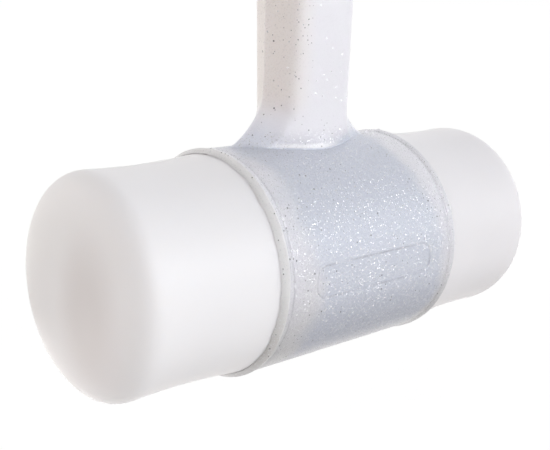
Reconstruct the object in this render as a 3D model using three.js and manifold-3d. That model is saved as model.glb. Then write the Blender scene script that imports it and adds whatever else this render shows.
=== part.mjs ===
// A dead-blow mallet: two soft white tips on a steel canister of loose shot, with the collar, neck and
// handle cast round them in one piece of translucent urethane, over a steel rod.
// Units are millimetres. The head lies along X and the handle stands along +Z.

import * as THREE from "three";
import { mergeVertices } from "three/addons/utils/BufferGeometryUtils.js";
import Module from "manifold-3d";

// ---------- driving dimensions ----------
// Stations along X and heights along Z are measured from the head's centre, where the axes cross.

const GAP = 0.3; // between pieces that touch
const ROUND_SIDES = 48; // facets round the head
const SMALL_SIDES = 24; // facets round the handle's steel
const HANDLE_SIDES = 32; // facets round the handle

const COLLAR = {
  radius: 35,
  halfLength: 37.4, // to the crest of the lip
  lipRadius: 35.5,
  lipWidth: 2,
  feather: 2, // the lip thins out this far along the tip
  featherRadius: 34.6,
};
const PANEL = { length: 51, height: 9.9, corner: 4, depth: 0.35, drop: 0.8 }; // drop: below the axis
const CANISTER = { radius: 27, wall: 3, halfLength: 65, capThickness: 3, capDepth: 6 };
const TIP = {
  length: 49.8, // from the collar's crest to the striking face
  rootRadius: 34,
  waistRadius: 32.7,
  rimRadius: 33,
  rimWidth: 19.4, // how far the rim's rounding reaches across the face
  rimDepth: 9.7, // and back along the side
  rimPower: 2.3, // 2 is an ellipse, more is squarer
};
const SKIRT = { radius: 30.5, flangeRadius: 32.2, flangeWidth: 3.2, length: 11.1 };
const SHOT = { radius: 23.5, halfLength: 48, level: 3 }; // level: its flat top, above the head's axis

const TOTAL_HEIGHT = 360;
const HANDLE_TOP = TOTAL_HEIGHT - COLLAR.lipRadius;
const HANDLE_FOOT = 29;
// Rows of height, half-width along X, half-width along Y.
const HANDLE_STATIONS = [
  [29, 17.3, 9.6],
  [45, 17.1, 10.0],
  [65, 16.7, 11.1],
  [90, 16.7, 11.9],
  [140, 17.6, 12.4],
  [196, 19.4, 13.6],
  [245, 20.0, 14.6],
  [290, 18.6, 13.2],
  [312, 22.4, 15.8],
  [325, 23.0, 16.2],
];
// Its section is flat at the front and back, and its sides lean out to an edge on the parting plane.
const SECTION = { lean: 0.305, squareness: 7 };
const NECK = { sideHeight: 15, sideReach: 13, sideLean: 0.475, frontHeight: 4.5, frontReach: 1.5 };
const COLLAR_CREST = 35; // where the neck's side sweeps run out on the collar
const NECK_FRONT_FOOT = 33.1; // and where its small front fillet does
const GRIP = { start: 196, pitch: 9.6, ribs: 10, ribHeight: 1.2 };
const POMMEL_ROUNDING = 8;
const HANG_HOLE = { radius: 5, height: 306 };

const ROD = { radius: 6, foot: 31.3, top: 286 };
const SADDLE = { length: 34, width: 18, plateTop: 31, bossRadius: 8, bossTop: 40 };
const SPACER = { halfLength: 13, halfWidth: 9.2, thickness: 4, heights: [112, 192, 272] };

// ---------- materials ----------

const standard = (color, roughness, metalness) =>
  new THREE.MeshStandardMaterial({ color, roughness, metalness });
const castUrethane = () => standard(0xcfd3df, 0.32, 0);
const tipUrethane = () => standard(0xf3f2f4, 0.45, 0);
const steel = () => standard(0x9a9ca0, 0.4, 1);
const shotSteel = () => standard(0x75777b, 0.5, 1);
const spacerPlastic = () => standard(0xe6e4dc, 0.5, 0);

// ---------- helpers ----------

const wasm = await Module();
wasm.setup();

// A closed geometry as a solid that can be joined and cut.
function solid(geometry) {
  const bare = geometry.clone();
  bare.deleteAttribute("normal");
  bare.deleteAttribute("uv");
  const merged = mergeVertices(bare, 1e-4);
  const vertProperties = merged.attributes.position.array;
  const triVerts = merged.index.array;
  return new wasm.Manifold(new wasm.Mesh({ numProp: 3, vertProperties, triVerts }));
}

function geometryOf(manifold) {
  const { vertProperties, triVerts } = manifold.getMesh();
  const geometry = new THREE.BufferGeometry();
  geometry.setAttribute("position", new THREE.BufferAttribute(vertProperties, 3));
  geometry.setIndex(new THREE.BufferAttribute(triVerts, 1));
  geometry.computeVertexNormals();
  return geometry;
}

// A body turned about Z from [radius, height] points.
function turnedZ(profile, sides) {
  const points = profile.map(([radius, height]) => new THREE.Vector2(radius, height));
  return new THREE.LatheGeometry(points, sides).rotateX(Math.PI / 2);
}

// The same about X, from [radius, station] points.
function turnedX(profile, sides = ROUND_SIDES) {
  return turnedZ(profile, sides).rotateY(Math.PI / 2);
}

// A solid cylinder about Z between two heights.
function cylinderZ(radius, foot, top, sides = SMALL_SIDES) {
  return turnedZ([[0, foot], [radius, foot], [radius, top], [0, top]], sides);
}

// A solid cylinder about X, from -halfLength to halfLength.
function cylinderX(radius, halfLength) {
  return turnedX([[0, -halfLength], [radius, -halfLength], [radius, halfLength], [0, halfLength]]);
}

function box(length, width, foot, top) {
  return new THREE.BoxGeometry(length, width, top - foot).translate(0, 0, (foot + top) / 2);
}

// A half profile on the +X side followed by its mirror image on the -X side.
function mirrored(half) {
  return [...half.map(([radius, x]) => [radius, -x]).reverse(), ...half];
}

// How far a concave quarter round stands out, at a share of its height from its thin end to its foot.
function quarterRound(share) {
  return 1 - Math.sqrt(1 - THREE.MathUtils.clamp(share, 0, 1) ** 2);
}

// ---------- head ----------

function canisterTube() {
  const { radius, wall, halfLength } = CANISTER;
  const inner = radius - wall;
  return turnedX([
    [inner, -halfLength], [radius, -halfLength], [radius, halfLength], [inner, halfLength],
    [inner, -halfLength],
  ]);
}

// A pressed cup that closes the tube, with its open side outwards.
function canisterCap() {
  const { radius, wall, halfLength, capThickness, capDepth } = CANISTER;
  const outer = radius - wall - GAP;
  const floor = halfLength - capDepth;
  return turnedX([
    [0, floor], [outer, floor], [outer, halfLength], [outer - capThickness, halfLength],
    [outer - capThickness, floor + capThickness], [0, floor + capThickness],
  ]);
}

// The settled shot as one block: round below, level on top.
function shotCharge() {
  const { radius, halfLength, level } = SHOT;
  const edge = Math.asin(level / radius);
  const section = new THREE.Shape().absarc(0, 0, radius, Math.PI - edge, 2 * Math.PI + edge, false);
  const block = { depth: 2 * halfLength, bevelEnabled: false, curveSegments: 28 };
  return new THREE.ExtrudeGeometry(section, block)
    .translate(0, 0, -halfLength)
    .rotateX(Math.PI / 2)
    .rotateZ(Math.PI / 2);
}

// The tip's side from the collar to the rim, then the rim's rounding as far as the flat of the face.
function tipOutline() {
  const { halfLength } = COLLAR;
  const sideLength = TIP.length - TIP.rimDepth;
  const side = new THREE.QuadraticBezierCurve(
    new THREE.Vector2(TIP.rootRadius, halfLength + GAP),
    new THREE.Vector2(
      2 * TIP.waistRadius - (TIP.rootRadius + TIP.rimRadius) / 2,
      halfLength + sideLength / 2,
    ),
    new THREE.Vector2(TIP.rimRadius, halfLength + sideLength),
  ).getPoints(6).map((point) => point.toArray());
  const steps = 9;
  const rim = Array.from({ length: steps }, (_, i) => {
    const angle = (((i + 1) / steps) * Math.PI) / 2;
    const across = Math.max(Math.cos(angle), 0) ** (2 / TIP.rimPower);
    const along = Math.sin(angle) ** (2 / TIP.rimPower);
    return [
      TIP.rimRadius - TIP.rimWidth * (1 - across),
      halfLength + sideLength + TIP.rimDepth * along,
    ];
  });
  return [...side, ...rim];
}

// A thick cup over the canister's end, with a flanged skirt that the collar is cast round.
function strikingTip() {
  const bore = CANISTER.radius + GAP;
  const bottom = CANISTER.halfLength + GAP;
  const skirtEnd = COLLAR.halfLength - SKIRT.length;
  const flangeEnd = skirtEnd + SKIRT.flangeWidth;
  return turnedX([
    [0, bottom], [bore, bottom], [bore, skirtEnd], [SKIRT.flangeRadius, skirtEnd],
    [SKIRT.flangeRadius, flangeEnd], [SKIRT.radius, flangeEnd],
    [SKIRT.radius, COLLAR.halfLength + GAP],
    ...tipOutline(),
    [0, COLLAR.halfLength + TIP.length],
  ]);
}

// ---------- handle steel ----------

function saddle(clearance) {
  const { length, width, plateTop, bossRadius, bossTop } = SADDLE;
  const foot = CANISTER.radius - 10;
  const plate = box(length + 2 * clearance, width + 2 * clearance, foot, plateTop + clearance);
  const boss = cylinderZ(bossRadius + clearance, foot, bossTop + clearance);
  return solid(plate).add(solid(boss));
}

function rodSaddle() {
  const seat = cylinderX(CANISTER.radius + GAP, SADDLE.length);
  const socket = cylinderZ(ROD.radius + GAP, ROD.foot - GAP, SADDLE.bossTop + 1);
  return geometryOf(saddle(0).subtract(solid(seat)).subtract(solid(socket)));
}

function handleRod(clearance = 0) {
  return cylinderZ(ROD.radius + clearance, ROD.foot - clearance, ROD.top + clearance);
}

// An oval plate across the handle, as a solid slab: the rod's hole is cut afterwards.
function spacerSlab(height, clearance) {
  const oval = new THREE.Shape().absellipse(
    0, 0, SPACER.halfLength + clearance, SPACER.halfWidth + clearance, 0, 2 * Math.PI,
  );
  const depth = SPACER.thickness + 2 * clearance;
  return new THREE.ExtrudeGeometry(oval, { depth, bevelEnabled: false, curveSegments: 14 })
    .translate(0, 0, height - depth / 2);
}

function rodSpacer(height) {
  return geometryOf(solid(spacerSlab(height, 0)).subtract(solid(handleRod(GAP))));
}

// ---------- the casting ----------

const stationValues = HANDLE_STATIONS.flatMap(([, halfX, halfY]) => [halfX, halfY]);
const stationHeights = HANDLE_STATIONS.map(([height]) => height);
const handleSection = new THREE.CubicInterpolant(stationHeights, stationValues, 2);

// The section of the neck, shaft, grip and pommel at a height: its half-widths and its sides' lean.
function handleSizes(z) {
  const [shaftX, shaftY] = handleSection.evaluate(z);
  const sideSweep = quarterRound(1 - (z - COLLAR_CREST) / NECK.sideHeight);
  const frontFillet = quarterRound(1 - (z - NECK_FRONT_FOOT) / NECK.frontHeight);
  const turn = (z - GRIP.start) / GRIP.pitch;
  const rib = turn > 0 && turn < GRIP.ribs ? (1 - Math.cos(2 * Math.PI * turn)) / 2 : 0;
  const crown = quarterRound(1 - (HANDLE_TOP - z) / POMMEL_ROUNDING);
  const grown = GRIP.ribHeight * rib - POMMEL_ROUNDING * crown;
  return {
    halfX: shaftX + NECK.sideReach * sideSweep + grown,
    halfY: shaftY + NECK.frontReach * frontFillet + grown,
    lean: SECTION.lean + NECK.sideLean * sideSweep,
  };
}

// How far the section reaches along a direction, as a share of an ellipse's reach.
function sectionReach(across, along, lean) {
  const side = Math.abs(across) + lean * Math.abs(along);
  const { squareness } = SECTION;
  return (side ** squareness + Math.abs(along) ** squareness) ** (-1 / squareness);
}

function spread(count, place) {
  return Array.from({ length: count }, (_, i) => place((i + 1) / count));
}

function handleHeights() {
  const neckTop = COLLAR_CREST + NECK.sideHeight;
  const gripEnd = GRIP.start + GRIP.pitch * GRIP.ribs;
  const pommel = HANDLE_TOP - POMMEL_ROUNDING;
  const between = (low, high) => (share) => low + (high - low) * share;
  const denseAtFoot = (share) =>
    NECK_FRONT_FOOT + (neckTop - NECK_FRONT_FOOT) * (1 - Math.cos((share * Math.PI) / 2));
  const denseAtTop = (share) => pommel + POMMEL_ROUNDING * Math.sin((share * Math.PI) / 2);
  return [
    HANDLE_FOOT,
    NECK_FRONT_FOOT,
    ...spread(13, denseAtFoot),
    ...spread(7, between(neckTop, GRIP.start)),
    ...spread(5 * GRIP.ribs, between(GRIP.start, gripEnd)),
    ...spread(4, between(gripEnd, pommel)),
    ...spread(5, denseAtTop),
  ];
}

// The neck and handle: a unit column, each ring of it drawn out to its height's section.
function handle() {
  const heights = handleHeights();
  const column = turnedZ(
    [[0, heights[0]], ...heights.map((z) => [1, z]), [0, heights.at(-1)]],
    HANDLE_SIDES,
  );
  const position = column.attributes.position;
  for (let i = 0; i < position.count; i++) {
    const [x, y] = [position.getX(i), position.getY(i)];
    if (Math.hypot(x, y) < 0.5) continue; // the middles of the end faces
    const { halfX, halfY, lean } = handleSizes(position.getZ(i));
    const reach = sectionReach(x, y, lean);
    position.setXY(i, x * halfX * reach, y * halfY * reach);
  }
  return column;
}

function collarOutside() {
  const { radius, halfLength, lipRadius, lipWidth, feather, featherRadius } = COLLAR;
  const step = lipRadius - radius;
  return turnedX(mirrored([
    [radius, halfLength - lipWidth], [lipRadius, halfLength - lipWidth + step],
    [lipRadius, halfLength], [featherRadius, halfLength + feather], [0, halfLength + feather],
  ]));
}

// Room for the canister and the tips' flanged skirts, open at both ends.
function collarBore() {
  const skirtEnd = COLLAR.halfLength - SKIRT.length - GAP;
  const flangeEnd = skirtEnd + SKIRT.flangeWidth + 2 * GAP;
  const past = COLLAR.halfLength + COLLAR.feather + 1;
  return turnedX(mirrored([
    [CANISTER.radius + GAP, skirtEnd], [SKIRT.flangeRadius + GAP, skirtEnd],
    [SKIRT.flangeRadius + GAP, flangeEnd], [SKIRT.radius + GAP, flangeEnd],
    [SKIRT.radius + GAP, COLLAR.halfLength], [TIP.rootRadius + GAP, COLLAR.halfLength],
    [TIP.rootRadius + GAP, past], [0, past],
  ]));
}

// A shallow blank panel sunk into the collar's front (side 1) or back (side -1).
function panelRecess(side) {
  const halfLength = PANEL.length / 2;
  const halfHeight = PANEL.height / 2;
  const { corner } = PANEL;
  const outline = new THREE.Shape()
    .moveTo(corner - halfLength, -halfHeight)
    .lineTo(halfLength - corner, -halfHeight)
    .absarc(halfLength - corner, corner - halfHeight, corner, -Math.PI / 2, 0, false)
    .absarc(halfLength - corner, halfHeight - corner, corner, 0, Math.PI / 2, false)
    .absarc(corner - halfLength, halfHeight - corner, corner, Math.PI / 2, Math.PI, false)
    .absarc(corner - halfLength, corner - halfHeight, corner, Math.PI, 1.5 * Math.PI, false);
  const block = new THREE.ExtrudeGeometry(outline, {
    depth: COLLAR.radius, bevelEnabled: false, curveSegments: 5,
  }).rotateX(Math.PI / 2).translate(0, -SKIRT.radius, -PANEL.drop);
  if (side < 0) block.rotateZ(Math.PI);
  const floor = cylinderX(COLLAR.radius - PANEL.depth, PANEL.length);
  return solid(block).subtract(solid(floor));
}

function hangHole() {
  const reach = 40;
  return cylinderZ(HANG_HOLE.radius, -reach, reach)
    .rotateX(Math.PI / 2)
    .translate(0, 0, HANG_HOLE.height);
}

function castBody() {
  let body = solid(collarOutside()).add(solid(handle()));
  const cuts = [
    solid(collarBore()),
    saddle(GAP),
    solid(handleRod(GAP)),
    ...SPACER.heights.map((height) => solid(spacerSlab(height, GAP))),
    panelRecess(1),
    panelRecess(-1),
    solid(hangHole()),
  ];
  for (const cut of cuts) body = body.subtract(cut);
  return geometryOf(body);
}

// ---------- assembly ----------

const mallet = new THREE.Group();
mallet.position.z = COLLAR.lipRadius; // the collar's lips rest on z = 0

function addPiece(name, geometry, material, turn = 0) {
  const piece = new THREE.Mesh(geometry, material);
  piece.name = name;
  piece.rotation.z = turn;
  mallet.add(piece);
}

addPiece("cast_body", castBody(), castUrethane());
addPiece("striking_tip_right", strikingTip(), tipUrethane());
addPiece("striking_tip_left", strikingTip(), tipUrethane(), Math.PI);
addPiece("canister_tube", canisterTube(), steel());
addPiece("canister_cap_right", canisterCap(), steel());
addPiece("canister_cap_left", canisterCap(), steel(), Math.PI);
addPiece("shot_charge", shotCharge(), shotSteel());
addPiece("rod_saddle", rodSaddle(), steel());
addPiece("handle_rod", handleRod(), steel());
["lower", "middle", "upper"].forEach((place, i) => {
  addPiece(`rod_spacer_${place}`, rodSpacer(SPACER.heights[i]), spacerPlastic());
});

export default mallet;
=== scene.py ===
# A dead-blow mallet stood on its head on a white studio floor: two white urethane tips, and a
# translucent casting full of silver glitter that makes the collar, neck and handle.
import math

import bmesh
import bpy
import numpy as np
from mathutils import Matrix, Vector


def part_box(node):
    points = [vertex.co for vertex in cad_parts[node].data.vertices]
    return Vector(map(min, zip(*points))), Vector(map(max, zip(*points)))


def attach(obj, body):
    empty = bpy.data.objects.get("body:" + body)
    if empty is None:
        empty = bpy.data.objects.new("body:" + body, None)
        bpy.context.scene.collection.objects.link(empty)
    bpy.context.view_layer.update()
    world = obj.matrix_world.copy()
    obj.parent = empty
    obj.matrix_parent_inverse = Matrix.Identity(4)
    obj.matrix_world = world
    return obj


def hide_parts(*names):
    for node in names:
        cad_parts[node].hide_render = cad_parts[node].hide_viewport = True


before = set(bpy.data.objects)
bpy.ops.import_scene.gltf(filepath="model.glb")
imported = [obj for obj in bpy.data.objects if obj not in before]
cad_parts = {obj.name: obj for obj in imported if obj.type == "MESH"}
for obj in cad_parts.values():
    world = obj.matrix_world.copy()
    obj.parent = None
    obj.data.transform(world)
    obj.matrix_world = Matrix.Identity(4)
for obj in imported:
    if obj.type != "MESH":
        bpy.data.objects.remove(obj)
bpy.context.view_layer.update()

# ---------- sizes ----------
# Shapes are worked out in millimetres from the head's centre, where the head's axis (X) crosses the
# handle's (Z), and placed() turns them into the frame's metres.

MM = 0.001
_, cast_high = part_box("cast_body")
tip_low, tip_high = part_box("striking_tip_right")
HEAD_Z = (tip_low[2] + tip_high[2]) / 2

LIP_RADIUS = HEAD_Z / MM  # the collar's lips stand on the floor
LIP_END = cast_high[0] / MM
HANDLE_TOP = (cast_high[2] - HEAD_Z) / MM
FACE_X = tip_high[0] / MM
TIP_ROOT_RADIUS = (tip_high[2] - tip_low[2]) / 2 / MM

COLLAR_RADIUS = 35.0
COLLAR_CREST = 37.4  # station of the lip's crest
LIP_GROOVE = 35.1  # and of the groove inside it
PATCH_X = 34.0  # the neck's patch of the collar reaches this far along it
PATCH_ANGLE = math.radians(40)  # and this far round it from the top
PATCH_STEPS = 50  # from one side of the patch to the other
PANEL_HALF_LENGTH, PANEL_HALF_HEIGHT, PANEL_CORNER, PANEL_DEPTH = 25.5, 4.95, 4.0, 0.35
PANEL_DROP = 0.8  # its middle's distance below the head's axis, round the surface

# An outline's half-lengths along X and Y, how far its sides lean in to the parting plane's edge, and
# how squarely its sides meet its front and back.
NECK_FOOT = (30.0, 11.3, 0.78, 5.0)
NECK_FOOT_SHIFT = -1.6  # its sweep is a little longer towards -X
HANDLE_LEAN, HANDLE_SQUARENESS = 0.305, 7.0
NECK_TOP = 51.0
NECK_SIDE_START, NECK_FRONT_START = 50.0, 38.0  # heights where its sweeps begin

STATIONS = np.array([29, 45, 65, 90, 140, 196, 245, 290, 312, 325.0])  # the handle's sections
HALF_X = np.array([17.3, 17.15, 16.65, 16.7, 17.6, 19.4, 20.0, 18.6, 22.4, 23.0])
HALF_Y = np.array([9.6, 9.95, 11.1, 11.9, 12.4, 13.6, 14.6, 13.2, 15.8, 16.2])
GRIP_START, RIB_PITCH, RIBS, RIB_HEIGHT = 196.0, 9.6, 10, 1.2
POMMEL_ROUNDING = 8.0
HANG_HOLE_RADIUS, HANG_HOLE_HEIGHT = 5.0, 306.0


def placed(points):
    return np.asarray(points, float) * MM + (0, 0, HEAD_Z)


# ---------- mesh building ----------


class Surface:
    """Points and faces gathered from grids of points, in millimetres from the head's centre."""

    def __init__(self):
        self.points, self.faces, self.count = [], [], 0

    def add(self, points):
        """Adds an array of points and returns their numbers in the same shape."""
        points = np.asarray(points, float)
        numbers = self.count + np.arange(points[..., 0].size).reshape(points.shape[:-1])
        self.points.append(points.reshape(-1, 3))
        self.count += numbers.size
        return numbers

    def skin(self, numbers, keep=None):
        """Quads between neighbouring numbers, rows closing on themselves."""
        here, along = numbers, np.roll(numbers, -1, axis=1)
        quads = np.stack([here[:-1], along[:-1], along[1:], here[1:]], axis=-1)
        self.faces += (quads if keep is None else quads[keep]).reshape(-1, 4).tolist()

    def close(self, ring, centre):
        """A fan from a ring of numbers to one centre point."""
        middle = int(self.add([centre])[0])
        self.faces += [[int(a), int(b), middle] for a, b in zip(ring, np.roll(ring, -1))]

    def piece(self, name, crease_degrees=40):
        mesh = bpy.data.meshes.new(name)
        mesh.from_pydata(placed(np.concatenate(self.points)).tolist(), [], self.faces)
        built = bmesh.new()
        built.from_mesh(mesh)
        loose = [v for v in built.verts if not v.link_faces]
        bmesh.ops.delete(built, geom=loose, context="VERTS")
        bmesh.ops.recalc_face_normals(built, faces=built.faces)
        built.to_mesh(mesh)
        built.free()
        smooth(mesh, crease_degrees)
        piece = bpy.data.objects.new(name, mesh)
        bpy.context.collection.objects.link(piece)
        return piece


def smooth(mesh, crease_degrees):
    mesh.polygons.foreach_set("use_smooth", [True] * len(mesh.polygons))
    mesh.set_sharp_from_angle(angle=math.radians(crease_degrees))


def turned(name, profile, sides=144, axis="X", crease_degrees=30):
    """A body turned from a closed profile of (radius, station) points about X or Z."""
    surface = Surface()
    profile = np.asarray(profile, float)
    angles = np.linspace(0, 2 * math.pi, sides, endpoint=False)
    radius, along = profile[:, 0, None], np.repeat(profile[:, 1, None], sides, axis=1)
    across, up = radius * np.cos(angles), radius * np.sin(angles)
    order = (along, across, up) if axis == "X" else (across, up, along)
    rings = np.stack(order, axis=-1)
    on_axis = profile[:, 0] < 1e-6
    numbers = surface.add(rings[~on_axis])
    if on_axis.any():
        surface.skin(numbers)
        surface.close(numbers[0], rings[0, 0])
        surface.close(numbers[-1], rings[-1, 0])
    else:
        surface.skin(np.concatenate([numbers, numbers[:1]]))
    return surface.piece(name, crease_degrees)


def graded(*stops):
    """Positions from each (position, spacing) stop to the next at about its spacing."""
    positions = []
    for (start, spacing), (end, _) in zip(stops, stops[1:]):
        steps = max(1, round((end - start) / spacing))
        positions += list(np.linspace(start, end, steps, endpoint=False))
    return np.array(positions)


def ease(value, low, high):
    share = np.clip((value - low) / (high - low), 0, 1)
    return share * share * (3 - 2 * share)


def quarter_round(share):
    """How far a concave quarter round stands out, from 0 at its thin end to 1 at its foot."""
    return 1 - np.sqrt(1 - np.clip(share, 0, 1) ** 2)


def bump_at(distance, width):
    return np.exp(-((distance / width) ** 2))


def cut(piece, cutters):
    """Subtracts the cutters from the piece and deletes them."""
    for cutter in cutters:
        modifier = piece.modifiers.new("cut", "BOOLEAN")
        modifier.operation, modifier.solver, modifier.object = "DIFFERENCE", "EXACT", cutter
    evaluated = piece.evaluated_get(bpy.context.evaluated_depsgraph_get())
    mesh = bpy.data.meshes.new_from_object(evaluated)
    piece.modifiers.clear()
    piece.data = mesh
    for cutter in cutters:
        bpy.data.objects.remove(cutter)
    smooth(mesh, 40)


# ---------- the casting ----------


def curve_through(heights, values, z):
    """A smooth curve through the values at the heights."""
    slopes = np.gradient(values, heights)
    i = np.clip(np.searchsorted(heights, z) - 1, 0, len(heights) - 2)
    span = heights[i + 1] - heights[i]
    t = (z - heights[i]) / span
    return (
        (2 * t**3 - 3 * t**2 + 1) * values[i]
        + (t**3 - 2 * t**2 + t) * span * slopes[i]
        + (3 * t**2 - 2 * t**3) * values[i + 1]
        + (t**3 - t**2) * span * slopes[i + 1]
    )


def handle_half_widths(z):
    turn = (z - GRIP_START) / RIB_PITCH
    rib = np.where((turn > 0) & (turn < RIBS), (1 - np.cos(2 * math.pi * turn)) / 2, 0)
    rounding = quarter_round(1 - (HANDLE_TOP - z) / POMMEL_ROUNDING)
    grown = RIB_HEIGHT * rib - POMMEL_ROUNDING * rounding
    return (
        curve_through(STATIONS, HALF_X, z) + grown,
        curve_through(STATIONS, HALF_Y, z) + grown,
    )


def outline(theta, half_x, half_y, lean, squareness):
    """An oval with flattened front and back whose sides meet in an edge on the parting plane."""
    across, up = np.abs(np.cos(theta)), np.abs(np.sin(theta))
    reach = ((across + lean * up) ** squareness + up**squareness) ** (-1 / squareness)
    return half_x * np.cos(theta) * reach, half_y * np.sin(theta) * reach


def handle_ring(theta, z):
    """The handle's section at a height, with the raised parting line on its two edges."""
    half_x, half_y = handle_half_widths(z)
    x, y = outline(theta, half_x, half_y, HANDLE_LEAN, HANDLE_SQUARENESS)
    ridge = 0.2 * bump_at(y, 0.25)
    return np.stack([x + np.sign(x) * ridge, y, np.broadcast_to(z, x.shape)], axis=-1)


def handle_points(theta, heights):
    """One point of the handle's surface at each of the heights."""
    return np.array([handle_ring(np.array([t]), np.array([z]))[0] for t, z in zip(theta, heights)])


def panel_sink(x, angle):
    """Depth of the blank panel on the collar's front and back."""
    up = COLLAR_RADIUS * (math.pi / 2 - np.abs(angle)) + PANEL_DROP
    dx = np.maximum(np.abs(x) - PANEL_HALF_LENGTH + PANEL_CORNER, 0)
    dy = np.maximum(np.abs(up) - PANEL_HALF_HEIGHT + PANEL_CORNER, 0)
    outside = np.hypot(dx, dy) - PANEL_CORNER
    return PANEL_DEPTH * ease(-outside, -0.25, 0.25) + 0.2 * bump_at(outside, 0.3)


def collar_relief(x, angle):
    """Height of the collar's surface over a plain cylinder."""
    from_parting = COLLAR_RADIUS * np.minimum(np.abs(angle), math.pi - np.abs(angle))
    waves = 0.05 * np.sin(0.13 * x + 2 * angle) * np.sin(0.09 * x + 3 * angle + 1)
    flash = 0.35 * ease(x, 19, 24) * ease(x, 34, 31) * (1 + 0.6 * np.sin(1.7 * x))
    flash = flash * (np.abs(angle) < 2)  # a line of it stands only on the top parting line
    return (0.16 + flash) * bump_at(from_parting, 0.3) - panel_sink(x, angle) + waves


def around_x(x, radius, angle):
    """Points at an angle from the top, towards the back, about the head's axis."""
    x, radius, angle = np.broadcast_arrays(x, radius, angle)
    return np.stack([x, radius * np.sin(angle), radius * np.cos(angle)], axis=-1)


def lip_profile():
    """(station, radius) points from the collar's surface over the lip and back into the bore."""
    crest, end, top = COLLAR_CREST, LIP_END, LIP_RADIUS
    bore = TIP_ROOT_RADIUS - 0.02  # the feather's edge clings to the tip
    feather = [
        (crest + (end - crest) * s, top + (bore + 0.12 - top) * s**0.8)
        for s in (0.14, 0.22, 0.34, 0.5, 0.66, 0.82, 0.93)
    ]
    return [
        (34.5, 35.0), (34.8, 34.96), (35.0, 34.82), (35.2, 34.82), (35.4, 34.97), (35.6, 35.1),
        (35.85, 35.22), (36.2, 35.3), (36.6, top - 0.16),
        (36.9, top - 0.1), (37.1, top - 0.02), (37.25, top), (crest, top), (crest + 0.14, top - 0.07),
        *feather, (end, bore + 0.06), (end, bore), (end - 1, bore), (crest + 0.06, bore),
        (crest + 0.02, 33.0), (crest, 30.8), (29.8, 30.8), (29.8, 32.5), (26.0, 32.5), (26.0, 27.3),
    ]


def collar_angles():
    """Angles from the top round the collar: fine at the parting lines and the panels' edges."""
    turn = np.linspace(-1, 1, PATCH_STEPS, endpoint=False)
    top = PATCH_ANGLE * (0.3 * turn + 0.7 * turn**3)
    half = COLLAR_RADIUS * (math.pi / 2 - PATCH_ANGLE)
    edge, drop = PANEL_HALF_HEIGHT, PANEL_DROP
    side = graded(
        (-half, 1.1), (drop - edge - 0.8, 0.2), (drop - edge + 0.8, 0.8), (drop + edge - 0.8, 0.2),
        (drop + edge + 0.8, 1.1), (half, 1),
    )
    front = math.pi / 2 + side / COLLAR_RADIUS
    angles = np.concatenate([top, front, math.pi + top, math.pi + front])
    return (angles + math.pi) % (2 * math.pi) - math.pi


def collar(surface):
    """The collar's skin, lips and bore, with the neck's patch left open on top. Returns the patch's
    edge, anticlockwise from its corner at +X on the front."""
    far, near = PANEL_HALF_LENGTH + 0.9, PANEL_HALF_LENGTH - 4.2
    right = graded((0, 0.9), (near, 0.3), (far, 1.0), (PATCH_X, 1))
    middle = np.concatenate([[-PATCH_X], -right[:0:-1], right, [PATCH_X]])
    lip = lip_profile()
    stations = np.array([*middle, *(x for x, _ in lip), *(-x for x, _ in lip[::-1])])
    lip_radii = [radius for _, radius in lip]
    radii = np.array([*(COLLAR_RADIUS + 0 * middle), *lip_radii, *lip_radii[::-1]])
    on_surface = (np.arange(len(stations)) < len(middle))[:, None]
    beyond = ease(np.abs(stations), 36.5, 38.5) * (radii > TIP_ROOT_RADIUS)
    outside = (radii > TIP_ROOT_RADIUS) & (np.abs(stations) > PATCH_X)

    angle, x, radius = collar_angles()[None, :], stations[:, None], radii[:, None]
    side = np.sign(x)
    from_parting = COLLAR_RADIUS * np.minimum(np.abs(angle), math.pi - np.abs(angle))
    nub = bump_at(from_parting, 1.3)
    top_nub = 0.3 * nub * (np.abs(angle) < 2)
    ragged = 0.3 * np.sin(5 * angle + side) * np.sin(11 * angle + 2 * side) + 0.12 * np.sin(37 * angle)
    relief = np.where(on_surface, collar_relief(x, angle), 0)
    lip_wave = outside[:, None] * (0.06 * np.sin(3 * angle + side) + top_nub - 0.06)
    x = x + side * beyond[:, None] * np.minimum(ragged + 0.6 * nub, 0.4)
    numbers = surface.add(around_x(x, radius + relief + lip_wave, angle))

    rows = np.concatenate([numbers, numbers[:1]])
    last = len(middle) - 1
    keep = np.ones((len(rows) - 1, rows.shape[1]), bool)
    keep[:last, :PATCH_STEPS] = False
    surface.skin(rows, keep)
    return np.array([
        *numbers[last, :PATCH_STEPS],
        *numbers[last:0:-1, PATCH_STEPS],
        *numbers[0, PATCH_STEPS:0:-1],
        *numbers[:last, 0],
    ])


def patch(surface, edge):
    """Rings from the patch's edge in to the neck's foot, and where each path goes up the neck."""
    spots = np.concatenate(surface.points)[edge]
    edge_angle = np.arctan2(spots[:, 1], spots[:, 2])
    theta = np.arctan2(edge_angle / PATCH_ANGLE, spots[:, 0] / PATCH_X)
    foot_x, foot_y = outline(theta, *NECK_FOOT)
    foot_x = foot_x + NECK_FOOT_SHIFT * np.abs(np.cos(theta))
    foot_angle = np.arcsin(foot_y / COLLAR_RADIUS)
    rings = []
    for share in np.linspace(0, 1, 13)[1:]:
        patch_x = spots[:, 0] + (foot_x - spots[:, 0]) * share
        patch_angle = edge_angle + (foot_angle - edge_angle) * share
        lift = COLLAR_RADIUS + collar_relief(patch_x, patch_angle)
        rings.append(surface.add(around_x(patch_x, lift, patch_angle)))
    return rings, theta


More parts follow.
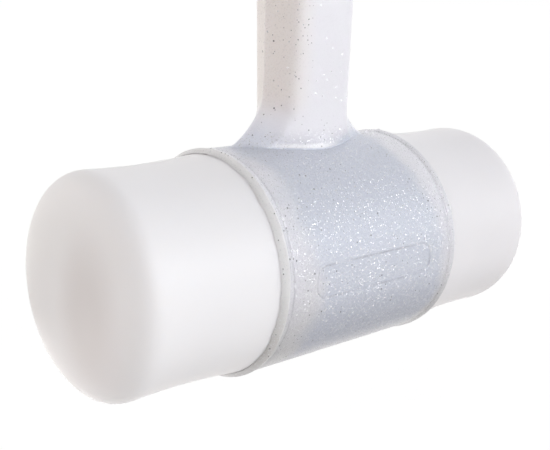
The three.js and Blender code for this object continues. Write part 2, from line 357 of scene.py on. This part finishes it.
def neck(surface, theta):
    """Rings from the neck's foot to its top. At the sides each path leaves the collar flat and
    arrives at the handle upright, and at the front and back it drops almost straight on to it."""
    foot = surface.points[-1]
    across = np.abs(np.cos(theta))
    start = NECK_FRONT_START + (NECK_SIDE_START - NECK_FRONT_START) * across**1.5
    top = handle_points(theta, start)
    inward = top[:, :2] - foot[:, :2]
    inward /= np.linalg.norm(inward, axis=1)[:, None]
    slope = -foot[:, 1] / foot[:, 2] * inward[:, 1]
    abrupt = 0.8 * ease(1 - across, 0.05, 0.45)[:, None]
    leaving = np.column_stack([inward, slope]) * (1 - abrupt) + abrupt * (0, 0, 1)
    pull = 0.23 * np.linalg.norm(top - foot, axis=1)[:, None]
    control_1 = foot + pull * leaving / np.linalg.norm(leaving, axis=1)[:, None]
    control_2 = top - pull * (0, 0, 1)
    rings = []
    for t in np.linspace(0, 1, 17)[1:]:
        path = (
            (1 - t) ** 3 * foot
            + 3 * (1 - t) ** 2 * t * control_1
            + 3 * (1 - t) * t**2 * control_2
            + t**3 * top
        )
        rings.append(surface.add(path))
    for share in np.linspace(0, 1, 6)[1:]:
        rings.append(surface.add(handle_points(theta, start + (NECK_TOP - start) * share)))
    return rings


def handle(surface, theta):
    """Rings up the handle and the grip, round the pommel's edge and in over its end."""
    grip_end = GRIP_START + RIB_PITCH * RIBS
    pommel = HANDLE_TOP - POMMEL_ROUNDING
    rings = [
        surface.add(handle_ring(theta, z))
        for z in graded((NECK_TOP + 2, 2.6), (GRIP_START, RIB_PITCH / 9), (grip_end, 1.6), (pommel, 1))
    ]
    for lean in np.linspace(0, math.pi / 2, 9):
        z = pommel + POMMEL_ROUNDING * math.sin(lean)
        rings.append(surface.add(handle_ring(theta, min(z, HANDLE_TOP))))
    end = surface.points[-1]
    for shrink in (0.97, 0.8, 0.55, 0.3):
        rings.append(surface.add(end * (shrink, shrink, 1)))
    return rings


def casting():
    surface = Surface()
    edge = collar(surface)
    patch_rings, theta = patch(surface, edge)
    rings = [edge, *patch_rings, *neck(surface, theta), *handle(surface, theta)]
    surface.skin(np.array(rings))
    surface.close(rings[-1], (0, 0, HANDLE_TOP))
    return surface.piece("urethane_casting")


def hang_hole_cutter():
    """The hang hole with rounded mouths, along Y."""
    surface_y = 15.4  # the pommel's half-thickness at the hole
    rounding = 1.6
    flare, beyond = 8.6, 24  # the cutter's radius and reach outside the pommel
    mouth = [
        (HANG_HOLE_RADIUS + rounding * (1 - math.cos(a)), surface_y - rounding + rounding * math.sin(a))
        for a in np.linspace(0, 1.35, 7)
    ]
    half = [*mouth, (flare, surface_y + 1.4), (flare, beyond)]
    profile = [(0, -beyond), *[(r, -y) for r, y in half[::-1]], *half, (0, beyond)]
    cutter = turned("hang_hole", profile, sides=64, axis="Z")
    turn = Matrix.Rotation(math.pi / 2, 4, "X")
    centre = Matrix.Translation((0, 0, HEAD_Z))
    lifted = Matrix.Translation((0, 0, HEAD_Z + HANG_HOLE_HEIGHT * MM))
    cutter.data.transform(lifted @ turn @ centre.inverted())
    return cutter


casting_piece = casting()
cut(casting_piece, [hang_hole_cutter()])
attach(casting_piece, "mallet")
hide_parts("cast_body")

# ---------- the tips ----------


def tip_profile():
    """(radius, station) points up the bore that takes the canister, round the flange under the
    collar, along the waisted side and over the rim to the face's middle."""
    waist, rim, rim_width, rim_depth, power = 32.7, 33.0, 19.4, 9.7, 2.3
    root_x, bore, bottom = COLLAR_CREST + 0.3, 27.3, 65.3
    flange, flange_start, flange_end, chamfer, neck_radius = 32.2, 26.3, 29.5, 0.4, 30.5
    side_end = FACE_X - rim_depth
    side = []
    for u in np.linspace(0, 1, 22):
        bow = waist - (TIP_ROOT_RADIUS + rim) / 2
        radius = TIP_ROOT_RADIUS + (rim - TIP_ROOT_RADIUS) * u + 4 * u * (1 - u) * bow
        side.append((radius, root_x + (side_end - root_x) * u))
    rounding = []
    for lean in np.linspace(0, math.pi / 2, 30)[1:]:
        across = max(math.cos(lean), 0) ** (2 / power)
        along = math.sin(lean) ** (2 / power)
        rounding.append((rim - rim_width * (1 - across), side_end + rim_depth * along))
    face = [(r, FACE_X) for r in (10.0, 6.0, 2.5, 0)]
    return [
        (0, bottom), (bore - 1, bottom), (bore, bottom - 1),
        (bore, flange_start + 0.7), (bore + 0.6, flange_start),
        (flange - chamfer, flange_start), (flange, flange_start + chamfer),
        (flange, flange_end - chamfer), (flange - chamfer, flange_end),
        (neck_radius, flange_end), (neck_radius, root_x),
        *side, *rounding, *face,
    ]


def striking_tip(side, name):
    piece = turned(name, [(r, side * x) for r, x in tip_profile()], sides=160)
    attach(piece, "mallet")
    return piece


left_tip = striking_tip(-1, "white_tip_left")
right_tip = striking_tip(1, "white_tip_right")
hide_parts("striking_tip_left")
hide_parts("striking_tip_right")

# ---------- the shot ----------

PELLET_RADIUS = 2.5
PELLET_GAP = 0.12
LAYERS, ROWS_EACH_WAY, COLUMNS_EACH_WAY = 14, 6, 10  # enough to fill the canister's round


def shot_pellets():
    """Steel pellets packed in the settled charge's outline: round below and level on top."""
    low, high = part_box("shot_charge")
    half_length = (high[0] - low[0]) / 2 / MM
    radius = (high[1] - low[1]) / 2 / MM
    level = (high[2] - HEAD_Z) / MM
    ball = bmesh.new()
    bmesh.ops.create_icosphere(ball, subdivisions=2, radius=PELLET_RADIUS)
    ball_points = np.array([v.co for v in ball.verts])
    ball_faces = [[v.index for v in face.verts] for face in ball.faces]
    ball.free()
    step = 2 * PELLET_RADIUS + PELLET_GAP
    room = radius - PELLET_RADIUS - 0.1
    random = np.random.default_rng(7)
    surface = Surface()
    for layer in range(LAYERS):
        z = level - PELLET_RADIUS - layer * step * math.sqrt(2 / 3)
        for row in range(-ROWS_EACH_WAY, ROWS_EACH_WAY + 1):
            y = (row + (layer % 2) / 3) * step * math.sqrt(3) / 2
            if y * y + z * z > room * room:
                continue
            shift = ((row + layer) % 2) / 2
            for column in range(-COLUMNS_EACH_WAY, COLUMNS_EACH_WAY + 1):
                x = (column + shift) * step
                if abs(x) > half_length - PELLET_RADIUS:
                    continue
                jitter = random.uniform(-0.05, 0.05, 3)
                first = surface.count
                surface.add(ball_points + (x, y, z) + jitter)
                surface.faces += [[first + i for i in face] for face in ball_faces]
    return surface.piece("shot_pellets", 180)


pellets = shot_pellets()
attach(pellets, "shot")
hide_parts("shot_charge")

# ---------- materials ----------


class Nodes:
    """A node tree, built with short calls."""

    def __init__(self, tree):
        self.tree = tree

    def add(self, kind, inputs=None, **settings):
        node = self.tree.nodes.new("ShaderNode" + kind)
        for key, value in settings.items():
            setattr(node, key, value)
        for key, value in (inputs or {}).items():
            self.set(node.inputs[key], value)
        return node

    def set(self, socket, value):
        """Links a socket to an output, or gives it a plain value."""
        if isinstance(value, bpy.types.NodeSocket):
            self.tree.links.new(value, socket)
        else:
            socket.default_value = value

    def math(self, operation, a, b=0.0):
        return self.add("Math", {0: a, 1: b}, operation=operation).outputs[0]

    def product(self, first, *others):
        for other in others:
            first = self.math("MULTIPLY", first, other)
        return first

    def length(self, a, b):
        return self.math("SQRT", self.math("ADD", self.product(a, a), self.product(b, b)))

    def vector(self, operation, a, b):
        """The sum, difference or product of two vectors, or one vector scaled by a number."""
        other = "Scale" if operation == "SCALE" else 1
        return self.add("VectorMath", {0: a, other: b}, operation=operation).outputs["Vector"]

    def remap(self, value, low, high, to_low=0.0, to_high=1.0, kind="SMOOTHSTEP"):
        numbers = {
            "Value": value, "From Min": low, "From Max": high, "To Min": to_low, "To Max": to_high,
        }
        return self.add("MapRange", numbers, interpolation_type=kind).outputs["Result"]

    def ramp(self, place, start, end, to_start=0.0, to_end=1.0):
        """A smooth change with a place, whose start and end are in millimetres."""
        return self.remap(place, start * MM, end * MM, to_start, to_end)

    def mix(self, factor, a, b, kind="RGBA"):
        inputs = {"Factor": factor, "A": a, "B": b}
        return self.add("Mix", inputs, data_type=kind).outputs["Result"]

    def noise(self, where, size_mm, detail=2.0, roughness=0.5):
        inputs = {
            "Vector": where, "Scale": 1 / (size_mm * MM), "Detail": detail, "Roughness": roughness,
        }
        return self.add("TexNoise", inputs).outputs["Fac"]

    def bump(self, height, depth_mm, strength=1.0):
        inputs = {"Height": height, "Distance": depth_mm * MM, "Strength": strength}
        return self.add("Bump", inputs).outputs["Normal"]


class MaterialNodes(Nodes):
    """The nodes of a new material."""

    def __init__(self, name):
        self.material = bpy.data.materials.new(name)
        self.material.use_nodes = True
        super().__init__(self.material.node_tree)

    def finish(self, **sockets):
        """Sets the shader's sockets, with _ for the spaces in their names."""
        shader = self.tree.nodes["Principled BSDF"]
        for key, value in sockets.items():
            self.set(shader.inputs[key.replace("_", " ")], value)
        return self.material


class Place:
    """Where a shaded point lies: x, y and height from the head's centre, its distance from the
    head's axis (reach) and from the middle along it (outward)."""

    def __init__(self, nodes):
        self.point = nodes.add("TexCoord").outputs["Object"]
        axes = nodes.add("SeparateXYZ", {"Vector": self.point}).outputs
        self.x, self.y = axes["X"], axes["Y"]
        self.height = nodes.math("SUBTRACT", axes["Z"], HEAD_Z)
        self.reach = nodes.length(self.y, self.height)
        self.outward = nodes.math("ABSOLUTE", self.x)


def srgb(red, green, blue):
    """A colour from 0-255 screen values, as the linear colour that shaders take."""
    shares = [value / 255 for value in (red, green, blue)]
    linear = [s / 12.92 if s <= 0.04045 else ((s + 0.055) / 1.055) ** 2.4 for s in shares]
    return (*linear, 1.0)


def flakes(nodes, at, spacing_mm, radius_mm, share):
    """A scatter of flakes: 1 where one shows, and a random colour for each."""
    cells = nodes.add("TexVoronoi", {"Vector": at.point, "Scale": 1 / (spacing_mm * MM)})
    random = nodes.add("SeparateColor", {"Color": cells.outputs["Color"]})
    chosen = nodes.math("LESS_THAN", random.outputs["Red"], share)
    edge = radius_mm / spacing_mm
    disc = nodes.remap(cells.outputs["Distance"], edge * 0.8, edge * 1.1, 1.0, 0.0, "LINEAR")
    return nodes.product(disc, chosen), cells.outputs["Color"]


def over_steel(nodes, at):
    """1 where the grey-blue goes. In the collar's middle it is the canister showing through. At the
    ends of the neck's sweeps, heavier on the left, and at the right of the neck's foot it is partly the
    canister and partly painted shade.
    """
    drift = nodes.product(nodes.math("SUBTRACT", nodes.noise(at.point, 14, 3), 0.5), 16 * MM)
    station = nodes.math("ADD", at.x, drift)
    high = nodes.ramp(at.height, 0, 30)
    left_end = nodes.math("SUBTRACT", -24.5 * MM, nodes.product(high, 8 * MM))
    right_end = nodes.math("SUBTRACT", 33 * MM, nodes.product(high, 7 * MM))
    past_left = nodes.ramp(nodes.math("SUBTRACT", station, left_end), -6, 6)
    past_right = nodes.ramp(nodes.math("SUBTRACT", station, right_end), 4, -4)
    on_collar = nodes.ramp(at.reach, 35.75, 35.2)
    more_on_left = nodes.ramp(at.x, 12, -12, 0.3, 0.75)
    # Partly painted shade, heavier on the neck's left flank.
    sweeps = nodes.product(nodes.ramp(at.outward, 10, 22), nodes.ramp(at.reach, 47, 35.5), more_on_left)
    right_foot = nodes.product(nodes.ramp(at.x, 3, 12), nodes.ramp(at.reach, 39, 35.4))
    seen = nodes.math("MAXIMUM", on_collar, nodes.math("MAXIMUM", sweeps, right_foot))
    return nodes.product(past_left, past_right, seen)


# The handle's left side: it takes painted warm shade, and the grain is strongest there.
def handle_left(nodes, at):
    return nodes.product(nodes.ramp(at.x, -4, -15), nodes.ramp(at.reach, 42, 52))


def urethane_colour(nodes, at):
    """Milky, with painted warm shade on the handle's left, greyer by the head and grey-blue over the
    steel. Painted shade darkens it low down; painted light from the floor whitens the lowest part."""
    # Painted shade: this mask darkens the collar's margin, its lips and the grey-blue over the steel
    # low down.
    low = nodes.ramp(at.height, 7, -22)
    milky = nodes.mix(nodes.noise(at.point, 9, 2), srgb(238, 237, 242), srgb(243, 242, 247))
    # Painted warm shade: the handle's left side is tinted warmer.
    milky = nodes.mix(handle_left(nodes, at), milky, srgb(242, 236, 233))
    margin = nodes.mix(low, srgb(220, 219, 226), srgb(199, 198, 200))
    upper_end = nodes.product(nodes.ramp(at.height, 10, 26), nodes.ramp(at.outward, 18, 26))
    margin = nodes.mix(upper_end, margin, srgb(236, 235, 241))
    milky = nodes.mix(nodes.ramp(at.reach, 42, 36), milky, margin)
    # Painted light and shade: the lips are whitened up high and darker low down.
    lip = nodes.mix(low, srgb(253, 252, 254), srgb(216, 213, 212))
    milky = nodes.mix(nodes.ramp(at.outward, 37.0, 37.5), milky, lip)
    steel_tint = nodes.mix(low, srgb(208, 212, 223), srgb(182, 186, 198))
    colour = nodes.mix(over_steel(nodes, at), milky, steel_tint)
    # Painted light: the lowest part is whitened as if lit by the white floor.
    painted_floor_light = nodes.ramp(at.height, -21, -31, 0, 0.6)
    return nodes.mix(painted_floor_light, colour, srgb(250, 250, 252))


def grained(nodes, at, colour):
    """Fine grain, strongest in the head and on the handle's left, and weak on the lips."""
    grain = nodes.noise(at.point, 0.55, 1, 0.7)
    in_head = nodes.ramp(at.reach, 40, 37, 0.3, 1.0)
    off_lips = nodes.ramp(at.outward, 37.2, 36.8, 0.35, 1.0)
    strength = nodes.product(nodes.math("MAXIMUM", in_head, handle_left(nodes, at)), off_lips)
    lighter = nodes.product(nodes.remap(grain, 0.5, 0.75, 0, 0.3), strength)
    darker = nodes.product(nodes.remap(grain, 0.5, 0.25, 0, 0.2), strength)
    colour = nodes.mix(lighter, colour, srgb(240, 241, 246))
    return nodes.mix(darker, colour, srgb(160, 162, 172))


def painted_groove_shade(nodes, at, colour):
    """Painted shade: dark lines in the groove round the blank panel and in the one inside each lip."""
    around = nodes.math("ARCTAN2", at.height, nodes.math("ABSOLUTE", at.y))
    arc = nodes.product(around, COLLAR_RADIUS * MM)
    from_middle = nodes.math("ABSOLUTE", nodes.math("ADD", arc, PANEL_DROP * MM))
    past_x = nodes.math("SUBTRACT", at.outward, (PANEL_HALF_LENGTH - PANEL_CORNER) * MM)
    past_y = nodes.math("SUBTRACT", from_middle, (PANEL_HALF_HEIGHT - PANEL_CORNER) * MM)
    corner = nodes.length(nodes.math("MAXIMUM", past_x, 0), nodes.math("MAXIMUM", past_y, 0))
    inside = nodes.math("MINIMUM", nodes.math("MAXIMUM", past_x, past_y), 0)
    edge = nodes.math("SUBTRACT", nodes.math("ADD", corner, inside), PANEL_CORNER * MM)
    panel_line = nodes.product(
        nodes.ramp(nodes.math("ABSOLUTE", edge), 0.45, 0.12), nodes.ramp(at.reach, 36.2, 35.8)
    )
    from_groove = nodes.math("ABSOLUTE", nodes.math("SUBTRACT", at.outward, LIP_GROOVE * MM))
    lip_line = nodes.product(nodes.ramp(from_groove, 0.4, 0.1), nodes.ramp(at.x, -10, 10, 0.6, 0.15))
    uneven = nodes.remap(nodes.noise(at.point, 7, 2), 0.35, 0.65, 0.08, 0.3)
    # Painted shade, heavier inside the lip towards -X.
    groove_shade = nodes.product(nodes.math("MAXIMUM", panel_line, lip_line), uneven)
    return nodes.mix(groove_shade, colour, srgb(122, 120, 128))


def lit_fillet(nodes, at, colour):
    """Painted highlight: light gathers in the thin fillet at the front and back of the neck's foot,
    painted as a whiter band.
    """
    in_fillet = nodes.product(nodes.ramp(at.reach, 35.2, 35.7), nodes.ramp(at.reach, 37.2, 35.9))
    middle = nodes.product(nodes.ramp(at.x, -20, -14), nodes.ramp(at.x, 9, -3))
    above = nodes.math("GREATER_THAN", at.height, 20 * MM)
    off_parting = nodes.ramp(nodes.math("ABSOLUTE", at.y), 5, 8)
    share = nodes.product(in_fillet, above, middle, off_parting, 0.8)
    return nodes.mix(share, colour, srgb(252, 252, 254))


def glitter(nodes, at):
    """Flakes in two sizes, sparser in the thicker handle: where they show, and how each leans."""
    big, big_lean = flakes(nodes, at, 0.95, 0.22, 0.55)
    small, small_lean = flakes(nodes, at, 0.55, 0.15, 0.7)
    sparse, sparse_lean = flakes(nodes, at, 1.5, 0.28, 0.16)
    in_head = nodes.ramp(at.reach, 43, 37)
    dense = nodes.product(nodes.math("MAXIMUM", big, small), in_head)
    lean = nodes.mix(sparse, nodes.mix(big, small_lean, big_lean), sparse_lean)
    return nodes.math("MAXIMUM", dense, sparse), lean


def painted_dark_flakes(nodes, at, colour):
    """Painted reflection: some flakes are painted dark, in patches, with finer ones on the handle's
    left.
    """
    wide = flakes(nodes, at, 2.3, 0.3, 0.3)[0]
    narrow = flakes(nodes, at, 1.3, 0.2, 0.3)[0]
    dark = nodes.math("MAXIMUM", wide, narrow)
    head_or_left = nodes.math("MAXIMUM", nodes.ramp(at.reach, 46, 40), nodes.ramp(at.x, -5, -9))
    patches = nodes.product(nodes.remap(nodes.noise(at.point, 11, 1), 0.44, 0.54), head_or_left)
    on_left = nodes.product(nodes.ramp(at.x, -4, -8), nodes.ramp(at.reach, 52, 60))
    fine = nodes.product(flakes(nodes, at, 1.1, 0.17, 0.3)[0], on_left, 0.7)
    share = nodes.math("MAXIMUM", nodes.product(dark, patches), fine)
    return nodes.mix(share, colour, srgb(112, 110, 114))


def flake_normal(nodes, at, shown, lean):
    """The skin's normal, and where a flake shows, the flake's. They lie at random in the head and
    mostly one way where the pour ran up the handle."""
    skin = nodes.bump(nodes.noise(at.point, 1.6, 3), 0.05, 0.35)
    run = nodes.vector("SCALE", (-0.32, 0.0, 0.2), nodes.ramp(at.reach, 35.6, 37))
    spread = nodes.ramp(at.reach, 35.6, 37, 0.85, 0.55)
    strewn = nodes.vector("SCALE", nodes.vector("SUBTRACT", lean, (0.5, 0.5, 0.5)), spread)
    tilted = nodes.vector("ADD", skin, nodes.vector("ADD", strewn, run))
    unit = nodes.add("VectorMath", {0: tilted}, operation="NORMALIZE").outputs["Vector"]
    return nodes.mix(shown, skin, unit, "VECTOR")


def cast_urethane():
    nodes = MaterialNodes("cast_urethane")
    at = Place(nodes)
    colour = grained(nodes, at, urethane_colour(nodes, at))
    # Painted shade in the grooves, then a painted highlight in the neck's fillet.
    colour = lit_fillet(nodes, at, painted_groove_shade(nodes, at, colour))
    shown, lean = glitter(nodes, at)
    # Flakes near white, then painted dark reflections on some of them.
    colour = painted_dark_flakes(nodes, at, nodes.mix(shown, colour, srgb(250, 250, 253)))
    sheen = nodes.ramp(at.outward, 37.2, 36.8, 0.0, 0.08)
    shine = nodes.ramp(at.reach, 40, 36, 0.36, 0.42)
    off_lips = nodes.ramp(at.outward, 37.2, 36.5, 0.15, 1.0)
    return nodes.finish(
        Base_Color=colour,
        Metallic=nodes.math("ADD", nodes.product(shown, shine, off_lips), sheen),
        Roughness=nodes.remap(shown, 0, 1, 0.42, 0.22, "LINEAR"),
        Normal=flake_normal(nodes, at, shown, lean),
        Subsurface_Weight=0.35,
        Subsurface_Radius=(1.0, 0.9, 1.0),
        Subsurface_Scale=0.006,
        IOR=1.48,
    )


def tip_urethane():
    """White, with painted shade making the right tip a touch greyer and a patch a little off the faces'
    middle darker.
    """
    nodes = MaterialNodes("tip_urethane")
    at = Place(nodes)
    cloud = nodes.noise(at.point, 22, 3)
    white = nodes.mix(cloud, srgb(252, 250, 252), srgb(248, 246, 248))
    # Painted shade: the right tip is a touch greyer.
    greyer = nodes.mix(cloud, srgb(241, 239, 241), srgb(237, 235, 237))
    colour = nodes.mix(nodes.math("GREATER_THAN", at.x, 0), white, greyer)
    across = nodes.math("ADD", at.y, 9 * MM)
    up = nodes.product(nodes.math("ADD", at.height, 5 * MM), 0.6)
    on_face = nodes.ramp(at.outward, FACE_X - 7, FACE_X - 1)
    # Painted shade: a darker patch a little off each face's middle.
    painted_face_shade = nodes.product(on_face, nodes.ramp(nodes.length(across, up), 19, 4))
    grain = nodes.noise(at.point, 0.9, 2)
    slow = nodes.noise(at.point, 6, 2)
    relief = nodes.math("ADD", nodes.product(grain, 0.3), slow)
    return nodes.finish(
        Base_Color=nodes.mix(painted_face_shade, colour, srgb(234, 230, 230)),
        Roughness=nodes.remap(slow, 0.2, 0.8, 0.33, 0.4, "LINEAR"),
        Normal=nodes.bump(relief, 0.05, 0.3),
        Subsurface_Weight=0.35,
        Subsurface_Radius=(1.0, 0.95, 0.9),
        Subsurface_Scale=0.006,
        IOR=1.48,
    )


def brushed_steel(name, colour, roughness, streak_axis):
    """Steel with fine turning marks across one axis and a little dullness in patches."""
    nodes = MaterialNodes(name)
    at = Place(nodes)
    squeeze = [0.02 / MM] * 3
    squeeze[streak_axis] = 2.5 / MM
    scaled = nodes.vector("MULTIPLY", at.point, squeeze)
    streaks = nodes.add("TexNoise", {"Vector": scaled, "Scale": 1.0, "Detail": 2.0}).outputs["Fac"]
    dull = (*(0.8 * value for value in colour[:3]), 1.0)
    return nodes.finish(
        Base_Color=nodes.mix(nodes.noise(at.point, 12, 3), colour, dull),
        Metallic=1.0,
        Roughness=nodes.remap(streaks, 0.3, 0.7, roughness - 0.08, roughness + 0.1, "LINEAR"),
        Normal=nodes.bump(streaks, 0.03, 0.4),
    )


def spacer_plastic():
    nodes = MaterialNodes("spacer_plastic")
    at = Place(nodes)
    return nodes.finish(
        Base_Color=nodes.mix(nodes.noise(at.point, 5, 2), srgb(236, 234, 226), srgb(226, 223, 214)),
        Roughness=nodes.remap(nodes.noise(at.point, 3, 2), 0.3, 0.7, 0.42, 0.55, "LINEAR"),
        Normal=nodes.bump(nodes.noise(at.point, 0.6, 2), 0.03, 0.5),
    )


def dress(piece, material):
    piece.data.materials.clear()
    piece.data.materials.append(material)


dress(casting_piece, cast_urethane())
tip_white = tip_urethane()
dress(left_tip, tip_white)
dress(right_tip, tip_white)
dress(pellets, brushed_steel("shot_steel", srgb(172, 174, 178), 0.38, 2))
canister_steel = brushed_steel("canister_steel", srgb(200, 202, 206), 0.34, 0)
rod_steel = brushed_steel("rod_steel", srgb(188, 190, 194), 0.4, 2)
plastic = spacer_plastic()
for node in ("canister_tube", "canister_cap_left", "canister_cap_right"):
    dress(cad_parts[node], canister_steel)
for node in ("rod_saddle", "handle_rod"):
    dress(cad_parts[node], rod_steel)
for node in ("rod_spacer_lower", "rod_spacer_middle", "rod_spacer_upper"):
    dress(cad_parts[node], plastic)

# ---------- studio ----------

WHITE = (1.0, 1.0, 1.0, 1.0)
AMBIENT = (0.15, 0.15, 0.155)
# The floor: how bright it looks, and the light it gives off in front of the head and behind it.
FLOOR_SHOWN, FLOOR_PAPER = 0.96, (0.07, 0.07, 0.07, 1.0)
FLOOR_GLOW, FLOOR_GLOW_BEHIND = (0.55, 0.535, 0.525, 1.0), (0.6, 0.6, 0.57, 1.0)
# How much more of it shows in reflections: under the head, behind, and in front towards +X.
GLOSS_UNDER, GLOSS_BEHIND, GLOSS_FRONT = 2.6, 1.3, 1.4
# Soft parts of the surroundings: azimuth (0 is the front, 90 is +X), elevation, the angle from
# there at which each has faded, and its light.
LOBES = [
    (180, 0, 85, (0.88, 0.88, 0.87)),
    (-140, 10, 45, (0.93, 0.89, 0.875)),
    (-90, 15, 50, (0.34, 0.26, 0.2)),
    (95, 20, 60, (0.74, 0.74, 0.75)),
    (0, 10, 50, (2.4, 2.44, 2.5)),
    (42, 10, 30, (0.52, 0.54, 0.57)),
]
SOFT_BOX = {"azimuth": 42, "elevation": 11, "distance": 0.9, "size": 0.5, "watts": 0.4}
# The photograph's viewpoint: low, close and from the left, with a slight roll.
VIEW_AZIMUTH, VIEW_ELEVATION, VIEW_ROLL = -42.68, 13.10, 1.165
VIEW_DISTANCE, VIEW_TARGET = 314.9, (-10.93, 0, 8.29)  # the target is from the head's centre
LENS, SENSOR = 63.98, 36.0


def direction(azimuth, elevation):
    """The way from the head's centre to an azimuth, 0 at the front and 90 at +X, and a height."""
    turn, lift = math.radians(azimuth), math.radians(elevation)
    return Vector(
        (math.sin(turn) * math.cos(lift), -math.cos(turn) * math.cos(lift), math.sin(lift))
    )


def floor():
    """White to the camera. Everything else sees soft light come from it."""
    bpy.ops.mesh.primitive_plane_add(size=60, location=(0, 0, 0))
    plane = bpy.context.object
    plane.name = "floor"
    nodes = MaterialNodes("white_floor")
    at = Place(nodes)
    behind = nodes.ramp(at.y, 20, 200)
    under = nodes.product(nodes.ramp(at.y, -30, 5), nodes.ramp(at.y, 100, 40))
    wide = nodes.product(nodes.ramp(at.x, -20, 10), nodes.ramp(at.x, 130, 90))
    deep = nodes.product(nodes.ramp(at.y, -40, -70), nodes.ramp(at.y, -200, -140))
    gloss = nodes.math(
        "ADD", nodes.product(under, GLOSS_UNDER), nodes.product(behind, GLOSS_BEHIND)
    )
    gloss = nodes.math("ADD", gloss, nodes.product(wide, deep, GLOSS_FRONT))
    path = nodes.add("LightPath").outputs
    strength = nodes.math("ADD", nodes.product(path["Is Glossy Ray"], gloss), 1.0)
    colour = nodes.mix(behind, FLOOR_GLOW, FLOOR_GLOW_BEHIND)
    glow = nodes.add("Emission", {"Color": colour, "Strength": strength}).outputs[0]
    shown = nodes.add("Emission", {"Color": WHITE, "Strength": FLOOR_SHOWN}).outputs[0]
    paper = nodes.add("BsdfDiffuse", {"Color": FLOOR_PAPER}).outputs[0]
    seen = nodes.add("AddShader", {0: shown, 1: paper}).outputs[0]
    either = nodes.add("MixShader", {0: path["Is Camera Ray"], 1: glow, 2: seen}).outputs[0]
    nodes.set(nodes.tree.nodes["Material Output"].inputs["Surface"], either)
    dress(plane, nodes.material)


def soft_box(azimuth, elevation, distance, size, watts):
    light = bpy.data.lights.new("soft_box", "AREA")
    light.shape, light.size, light.energy = "SQUARE", size, watts
    lamp = bpy.data.objects.new("soft_box", light)
    way = direction(azimuth, elevation)
    lamp.location = Vector((0, 0, HEAD_Z)) + way * distance
    lamp.rotation_euler = way.to_track_quat("Z", "Y").to_euler()
    bpy.context.collection.objects.link(lamp)


def studio_world():
    """White all round to the camera, and softly uneven surroundings as the light."""
    world = bpy.data.worlds.new("studio")
    bpy.context.scene.world = world
    world.use_nodes = True
    nodes = Nodes(world.node_tree)
    backdrop = world.node_tree.nodes["Background"]
    backdrop.inputs["Color"].default_value = WHITE
    way = nodes.add("TexCoord").outputs["Generated"]
    total = nodes.add("CombineXYZ", dict(zip("XYZ", AMBIENT))).outputs[0]
    for azimuth, elevation, reach, colour in LOBES:
        middle = direction(azimuth, elevation)
        toward = nodes.add("VectorMath", {0: way, 1: middle}, operation="DOT_PRODUCT")
        share = nodes.remap(toward.outputs["Value"], math.cos(math.radians(reach)), 1)
        total = nodes.vector("ADD", total, nodes.vector("SCALE", colour, share))
    light = nodes.add("Background", {"Color": total}).outputs[0]
    seen = nodes.add("LightPath").outputs["Is Camera Ray"]
    both = nodes.add("MixShader", {0: seen, 1: light, 2: backdrop.outputs[0]}).outputs[0]
    nodes.set(world.node_tree.nodes["World Output"].inputs["Surface"], both)


def camera():
    data = bpy.data.cameras.new("camera")
    data.sensor_width, data.lens = SENSOR, LENS
    data.clip_start, data.clip_end = 0.01, 100.0
    viewer = bpy.data.objects.new("camera", data)
    way = direction(VIEW_AZIMUTH, VIEW_ELEVATION)
    roll = Matrix.Rotation(math.radians(VIEW_ROLL), 4, "Z")
    aim = way.to_track_quat("Z", "Y").to_matrix().to_4x4() @ roll
    target = Vector(placed(VIEW_TARGET))
    viewer.matrix_world = Matrix.Translation(target + way * VIEW_DISTANCE * MM) @ aim
    bpy.context.collection.objects.link(viewer)
    bpy.context.scene.camera = viewer


floor()
studio_world()
soft_box(**SOFT_BOX)
camera()
bpy.context.scene.view_settings.view_transform = "Standard"
